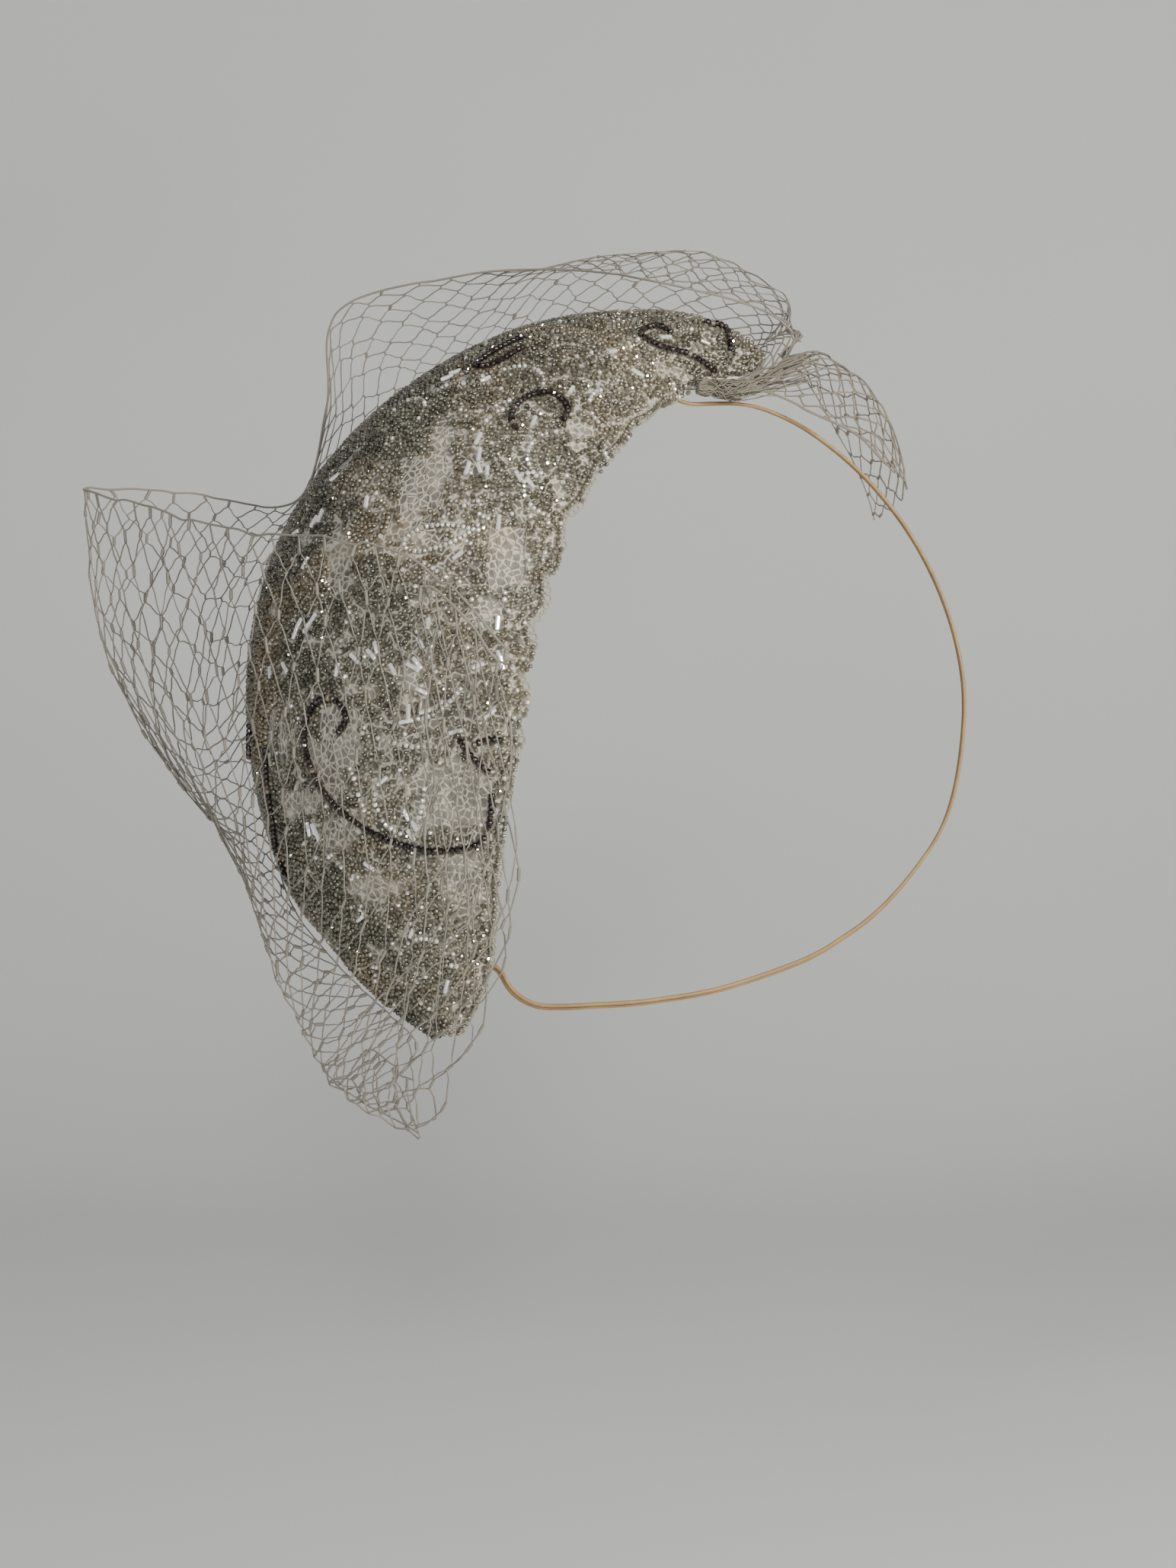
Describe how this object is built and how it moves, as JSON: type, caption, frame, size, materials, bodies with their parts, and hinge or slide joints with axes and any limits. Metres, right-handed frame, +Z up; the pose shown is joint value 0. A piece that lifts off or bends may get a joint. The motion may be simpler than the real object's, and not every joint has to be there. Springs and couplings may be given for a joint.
{
  "type": "beaded lace half hat with net veil",
  "caption": "Crescent half hat of beaded lace over a stiff shell, with a pouffed net veil along its front edge and a double elastic round the back.",
  "frame": {"origin": "middle of the shell's inner face, where it lies on a head", "axes": "+X to the back of the head, -Y to the head's left side, which the picture shows, +Z up"},
  "size_m": [0.2584, 0.1359, 0.2576],
  "materials": {
    "white_buckram": "matte white stiffened cotton",
    "beaded_lace": "lace under silver-lined seed beads and bugles",
    "net": "ivory knotted millinery net",
    "gold_elastic": "thin round covered elastic, gold brown",
    "dark_beads": "glossy dark bronze glass beads"
  },
  "bodies": {
    "root": {"foundation": "white_buckram", "lace_cover": "beaded_lace", "veil": "net", "veil_end": "net", "net_gather": "net", "elastic_upper": "gold_elastic", "elastic_lower": "gold_elastic", "bead_scroll_large": "dark_beads", "bead_string_front_upper": "dark_beads", "bead_string_front_lower": "dark_beads", "bead_curl_rear": "dark_beads", "bead_curl_rear_end": "dark_beads", "bead_arch": "dark_beads", "bead_hook_top": "dark_beads", "bead_hook_tip": "dark_beads", "bead_hook_edge": "dark_beads"}
  },
  "joints": []
}
